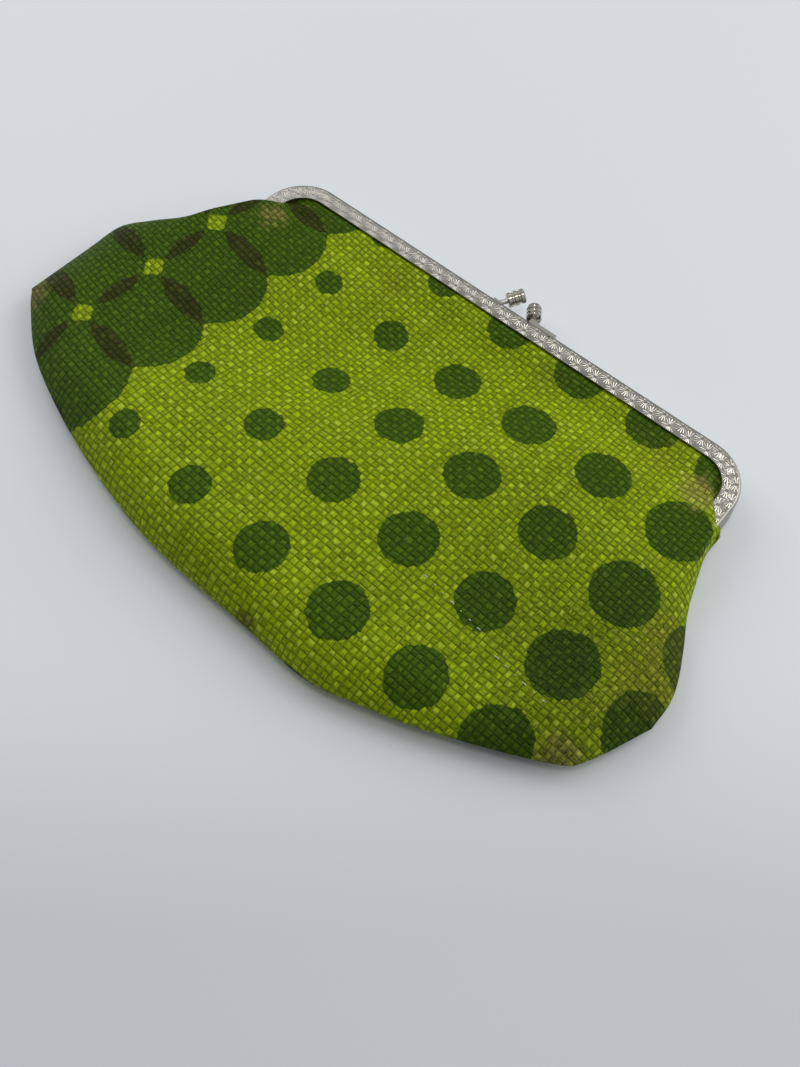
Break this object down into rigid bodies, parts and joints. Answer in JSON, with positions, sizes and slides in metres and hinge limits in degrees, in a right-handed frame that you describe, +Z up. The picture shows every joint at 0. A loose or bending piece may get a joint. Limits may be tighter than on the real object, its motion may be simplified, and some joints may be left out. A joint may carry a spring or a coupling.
{
  "type": "coin purse",
  "caption": "Kiss-lock coin purse with a plated channel frame, crossing barrel knobs and a boxed printed cloth bag with lining, lying closed.",
  "frame": {"origin": "on the table under the middle of the closed purse, halfway from its bottom edge to the tops of its knobs", "axes": "+X along the frame, +Y out of the mouth, +Z up through the front"},
  "size_m": [0.218, 0.1316, 0.0162],
  "materials": {
    "frame": "nickel plate, embossed, lightly tarnished",
    "rivet": "nickel plate",
    "post": "nickel plate",
    "knob": "polished nickel plate",
    "packing_cord": "twisted kraft paper cord",
    "outer_cloth": "coarse plain weave, printed",
    "lining": "plain cotton"
  },
  "bodies": {
    "back_half": {"back_frame": "frame", "hinge_rivet_left": "rivet", "hinge_rivet_right": "rivet", "back_knob_post": "post", "back_knob": "knob", "back_packing_cord": "packing_cord", "back_panel": "outer_cloth", "front_panel_lower": "outer_cloth", "back_lining": "lining", "front_lining_lower": "lining"},
    "front_half": {"front_frame": "frame", "front_knob_post": "post", "front_knob": "knob", "front_packing_cord": "packing_cord", "front_panel_upper": "outer_cloth", "front_lining_upper": "lining"}
  },
  "joints": [
    {"name": "mouth_hinge", "type": "hinge", "parent": "back_half", "child": "front_half", "pos_m": [0, 0.02164, 0.00515], "axis": [1, 0, 0], "range_deg": [0, 100]}
  ]
}
